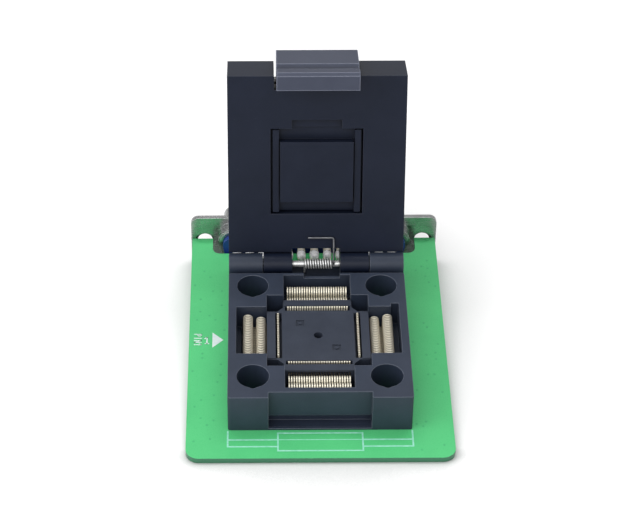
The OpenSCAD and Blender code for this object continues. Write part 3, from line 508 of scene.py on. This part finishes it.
# One bead along a cup; side is 1 above the board and -1 below it
def beadShape(centre, side, s, draw):
    points, faces = [], []
    around, along = s["around"], s["along"]
    tilt = draw.uniform(-s["tilt"], s["tilt"])
    grow = draw.uniform(*s["grow"])
    for j in range(along + 1):
        v = -1 + 2 * j / along
        ring = math.sqrt(max(0.0, 1 - abs(v) ** s["roundness"]))
        for i in range(around):
            turn = 2 * math.pi * i / around
            spot = Vector((math.cos(turn), math.sin(turn), v)) * s["lumpScale"] + Vector(centre)
            bump = 1 + s["lumps"] * noise.noise(spot)
            across = s["halfWidth"] * ring * math.cos(turn) * bump * grow
            high = s["height"] - s["taper"] * v
            up = s["lift"] + s["halfWidth"] * ring * math.sin(turn) * bump * high
            y = centre[1] + v * s["halfLength"] * grow + tilt * across
            points.append(Vector((centre[0] + across, y, centre[2] + side * max(0.0, up))) * mm)
    for j in range(along):
        for i in range(around):
            n = (i + 1) % around
            face = (j * around + i, j * around + n, (j + 1) * around + n, (j + 1) * around + i)
            faces.append(face if side < 0 else face[::-1])
    faces.append(tuple(range(around)) if side > 0 else tuple(range(around))[::-1])
    last = tuple(along * around + i for i in range(around))
    faces.append(last[::-1] if side > 0 else last)
    return points, faces


def solderPiece(s):
    draw = random.Random(s["seed"])
    shapes = []
    for i in range(s["long"]):
        x = (i - (s["long"] - 1) / 2) * s["pitch"]
        shapes.append(beadShape((x, s["y"], 0.0), 1, s, draw))
    for i in range(s["long"] - 1):
        x = (i - (s["long"] - 2) / 2) * s["pitch"]
        shapes.append(beadShape((x, s["y"], -s["boardThick"]), -1, s, draw))
    piece = addPiece("plugSolderBeads", *joinShapes(shapes), finishes["solder"], "base", "solder", True)
    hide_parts("plug_solder")


solderPiece(solderBeads)
print("solder done")


# Printed outline on the board, in front of the base: two long lines and a box at the latch
legend = {"low": 0.001, "high": 0.032, "line": 0.33, "sideX": 18.1, "sideBack": -19.5,
          "frontLow": -23.75, "frontHigh": -21.92, "boxX": 8.3, "boxLow": -24.87, "boxHigh": -20.13}


def slab(x0, y0, x1, y1, low, high):
    corners = ((x0, y0), (x1, y0), (x1, y1), (x0, y1))
    points = [Vector((x, y, z)) * mm for z in (low, high) for x, y in corners]
    return points, [(3, 2, 1, 0), (4, 5, 6, 7), (0, 1, 5, 4), (1, 2, 6, 5), (2, 3, 7, 6), (3, 0, 4, 7)]


def prism(outline, low, high):
    count = len(outline)
    points = [Vector((x, y, z)) * mm for z in (low, high) for x, y in outline]
    faces = [tuple(range(count))[::-1], tuple(range(count, 2 * count))]
    faces += [(k, (k + 1) % count, count + (k + 1) % count, count + k) for k in range(count)]
    return points, faces


def stroke(x0, y0, x1, y1, width, low, high):
    ahead = Vector((x1 - x0, y1 - y0)).normalized() * width / 2
    side = Vector((-ahead.y, ahead.x))
    a, b = Vector((x0, y0)), Vector((x1, y1))
    outline = [a - ahead - side, b + ahead - side, b + ahead + side, a - ahead + side]
    return prism([(p.x, p.y) for p in outline], low, high)


def disc(x, y, radius, low, high, sides=14):
    turns = [2 * math.pi * k / sides for k in range(sides)]
    return prism([(x + radius * math.cos(turn), y + radius * math.sin(turn)) for turn in turns], low, high)


def legendPiece(s):
    low, high = s["low"], s["high"]
    w = s["line"] / 2
    shapes = []
    for x in (-s["sideX"], s["sideX"]):
        shapes.append(slab(x - w, s["frontLow"] - w, x + w, s["sideBack"], low, high))
    for y in (s["frontLow"], s["frontHigh"]):
        shapes.append(slab(-s["sideX"] + w, y - w, -s["boxX"] - w, y + w, low, high))
        shapes.append(slab(s["boxX"] + w, y - w, s["sideX"] - w, y + w, low, high))
    for y in (s["boxLow"], s["boxHigh"]):
        shapes.append(slab(-s["boxX"] - w, y - w, s["boxX"] + w, y + w, low, high))
    for x in (-s["boxX"], s["boxX"]):
        shapes.append(slab(x - w, s["boxLow"] + w, x + w, s["boxHigh"] - w, low, high))
    shapes.append(slab(-s["boxX"] + w, s["frontHigh"] - w / 2,
                       s["boxX"] - w, s["frontHigh"] + w / 2, low, high))
    addPiece("boardLegend", *joinShapes(shapes), printed["legendInk"], "base", "green_board")


# Arrow at the first contact, its number, and the word beside it as single strokes read downwards
pinMark = {"width": 0.24, "low": 0.001, "high": 0.03, "wordX": -25.2, "wordY": 8.3, "wordHigh": 1.4,
           "letter": 0.95, "wordLine": 0.8,
           "arrow": [(-21.5, 4.3), (-19.25, 6.55), (-21.5, 8.8)],
           "number": [(-22.6, 5.5, -22.6, 7.35), (-22.6, 7.35, -23.05, 6.95), (-22.95, 5.5, -22.25, 5.5)],
           "word": [[(0, 0, 0, 1), (0, 1, 0.55, 1), (0.55, 1, 0.55, 0.5), (0, 0.5, 0.55, 0.5)],
                    [(0.28, 0, 0.28, 1)],
                    [(0, 0, 0, 1), (0, 1, 0.6, 0), (0.6, 0, 0.6, 1)],
                    [(0.3, 0, 0.3, 1), (0.3, 1, 0.05, 0.75)]]}


def pinMarkPiece(s):
    shapes = [prism(s["arrow"][::-1], s["low"], s["high"])]
    shapes += [stroke(*line, s["width"], s["low"], s["high"]) for line in s["number"]]
    for k, letter in enumerate(s["word"]):
        for x0, y0, x1, y1 in letter:
            ends = [(s["wordX"] + v * s["wordHigh"], s["wordY"] - (k + u) * s["letter"])
                    for u, v in ((x0, y0), (x1, y1))]
            shapes.append(stroke(*ends[0], *ends[1], s["width"] * s["wordLine"], s["low"], s["high"]))
    addPiece("pinMark", *joinShapes(shapes), printed["markInk"], "base", "green_board")


legendPiece(legend)
pinMarkPiece(pinMark)

vias = {"radius": 0.24, "low": 0.001, "high": 0.012, "seed": 5, "count": 70, "gap": 1.1, "grid": 0.635,
        "rangeX": (-25.2, 25.2), "rangeY": (-25.0, 31.0), "baseX": 19.0, "baseY": (-20.2, 23.8),
        "legendX": 19.2, "legendY": -19.0, "arrowX": (-24.5, -18.5), "arrowY": (3.2, 9.4)}


# Covered vias on the board's grid, kept clear of the base, the legend and the arrow
def viaPieces(s):
    draw = random.Random(s["seed"])
    places = []
    while len(places) < s["count"]:
        x = round(draw.uniform(*s["rangeX"]) / s["grid"]) * s["grid"]
        y = round(draw.uniform(*s["rangeY"]) / s["grid"]) * s["grid"]
        inBase = abs(x) < s["baseX"] and s["baseY"][0] < y < s["baseY"][1]
        inLegend = abs(x) < s["legendX"] and y < s["legendY"]
        byArrow = s["arrowX"][0] < x < s["arrowX"][1] and s["arrowY"][0] < y < s["arrowY"][1]
        near = any(abs(x - a) < s["gap"] and abs(y - b) < s["gap"] for a, b in places)
        if not (inBase or inLegend or byArrow or near):
            places.append((x, y))
    shapes = [disc(x, y, s["radius"], s["low"], s["high"]) for x, y in places]
    addPiece("boardVias", *joinShapes(shapes), printed["viaMask"], "base", "green_board")


viaPieces(vias)
print("legend done")


# The floor tilts so that the board's front edge and the plug's flange both rest on it
# The shade colour, contact reach and contact gain set a painted shadow on the floor in front of the board
stageSettings = {"frontEdge": (-26.85, -1.2), "slope": 4.95, "sink": 0.00005, "reach": 1.6,
                 "floorWhite": 0.86, "paintedShadowColour": (0.22, 0.27, 0.24), "cameraLift": 0.24,
                 "contact": 0.04, "contactGain": 1.25, "frontFrom": -0.001, "frontTo": 0.004,
                 "backShade": 0.15, "liftEnds": 0.08, "fadeFrom": 0.12, "fadeTo": 0.30,
                 "worldLight": 0.55}


def floorPiece(s):
    mesh = bpy.data.meshes.new("studioFloor")
    r = s["reach"]
    mesh.from_pydata([(-r, -r, 0), (r, -r, 0), (r, r, 0), (-r, r, 0)], [], [(0, 1, 2, 3)])
    floor = bpy.data.objects.new("studioFloor", mesh)
    floor.rotation_euler = (math.radians(-s["slope"]), 0, 0)
    floor.location = (0, s["frontEdge"][0] * mm, s["frontEdge"][1] * mm - s["sink"])
    bpy.context.scene.collection.objects.link(floor)
    material = bpy.data.materials.new("studioFloor")
    material.use_nodes = True
    tree = material.node_tree
    tree.nodes.clear()
    place = addNode(tree, "ShaderNodeTexCoord").outputs["Object"]
    ahead = addNode(tree, "ShaderNodeSeparateXYZ", {0: place})
    # Painted shadow: an occlusion mask, kept mostly to the floor in front of the board, darkens the floor
    # colour and removes the camera lift there
    front = mapRange(tree, ahead.outputs["Y"], s["frontFrom"], s["frontTo"], 1.0, s["backShade"])
    shade = useGroup(tree, hollowShade, {"Distance": s["contact"], "Gain": s["contactGain"]})["Mask"]
    paintedShadowMask = math2(tree, "MULTIPLY", shade, front)
    white = mixColour(tree, paintedShadowMask, rgb((s["floorWhite"],) * 3), rgb(s["paintedShadowColour"]))
    diffuse = addNode(tree, "ShaderNodeBsdfDiffuse", {"Color": white})
    seen = addNode(tree, "ShaderNodeLightPath").outputs["Is Camera Ray"]
    lift = mapRange(tree, paintedShadowMask, 0.0, s["liftEnds"], s["cameraLift"], 0.0)
    glow = addNode(tree, "ShaderNodeEmission", {
        "Color": rgb((1.0, 1.0, 1.0)), "Strength": math2(tree, "MULTIPLY", seen, lift)})
    both = addNode(tree, "ShaderNodeAddShader", {0: diffuse.outputs[0], 1: glow.outputs[0]})
    far = addNode(tree, "ShaderNodeVectorMath", {0: place}, operation="LENGTH").outputs["Value"]
    fade = mapRange(tree, far, s["fadeFrom"], s["fadeTo"], 0.0, 1.0)
    clear = addNode(tree, "ShaderNodeBsdfTransparent")
    out = addNode(tree, "ShaderNodeMixShader", {0: fade, 1: both.outputs[0], 2: clear.outputs[0]})
    addNode(tree, "ShaderNodeOutputMaterial", {"Surface": out.outputs[0]})
    mesh.materials.append(material)


def worldLight(s):
    world = bpy.data.worlds.new("studio")
    bpy.context.scene.world = world
    world.use_nodes = True
    tree = world.node_tree
    tree.nodes.clear()
    path = addNode(tree, "ShaderNodeLightPath").outputs
    seen = math2(tree, "MAXIMUM", path["Is Camera Ray"], path["Is Transmission Ray"])
    strength = mapRange(tree, seen, 0.0, 1.0, s["worldLight"], 1.0)
    sky = addNode(tree, "ShaderNodeBackground", {"Color": rgb((1.0, 1.0, 1.0)), "Strength": strength})
    addNode(tree, "ShaderNodeOutputWorld", {"Surface": sky.outputs[0]})


def areaLight(name, place, aim, size, power):
    lamp = bpy.data.lights.new(name, "AREA")
    lamp.shape = "RECTANGLE"
    lamp.size, lamp.size_y = size
    lamp.energy = power
    piece = bpy.data.objects.new(name, lamp)
    piece.location = place
    piece.rotation_euler = (Vector(aim) - Vector(place)).to_track_quat("-Z", "Y").to_euler()
    bpy.context.scene.collection.objects.link(piece)


lamps = {
    "keyLight": {"place": (-0.44, -0.14, 0.34), "aim": (0, 0, 0.01), "size": (0.40, 0.4), "power": 1.35},
    "frontLight": {"place": (-0.08, -0.42, 0.38), "aim": (0, 0, 0.01), "size": (0.5, 0.4), "power": 1.05},
    "topLight": {"place": (0.0, 0.17, 0.56), "aim": (0, 0, 0.01), "size": (0.6, 0.14), "power": 1.15},
}

view = {"place": (-11.456, -306.62, 295.02), "down": 41.04, "turn": 0.386,
        "focal": 2091.4, "width": 640, "height": 512,
        "centreX": 271.54, "centreY": 257.65, "sensor": 36.0, "near": 0.01}


def cameraPiece(s):
    lens = bpy.data.cameras.new("camera")
    lens.sensor_width = s["sensor"]
    lens.lens = s["focal"] / s["width"] * s["sensor"]
    lens.shift_x = (s["width"] / 2 - s["centreX"]) / s["width"]
    lens.shift_y = (s["centreY"] - s["height"] / 2) / s["width"]
    lens.clip_start = s["near"]
    piece = bpy.data.objects.new("camera", lens)
    piece.location = Vector(s["place"]) * mm
    piece.rotation_euler = (math.radians(90 - s["down"]), 0, math.radians(-s["turn"]))
    bpy.context.scene.collection.objects.link(piece)
    bpy.context.scene.camera = piece


floorPiece(stageSettings)
worldLight(stageSettings)
for lampName, lampSettings in lamps.items():
    areaLight(lampName, **lampSettings)
cameraPiece(view)
bpy.context.scene.view_settings.view_transform = "Standard"
print("stage done")
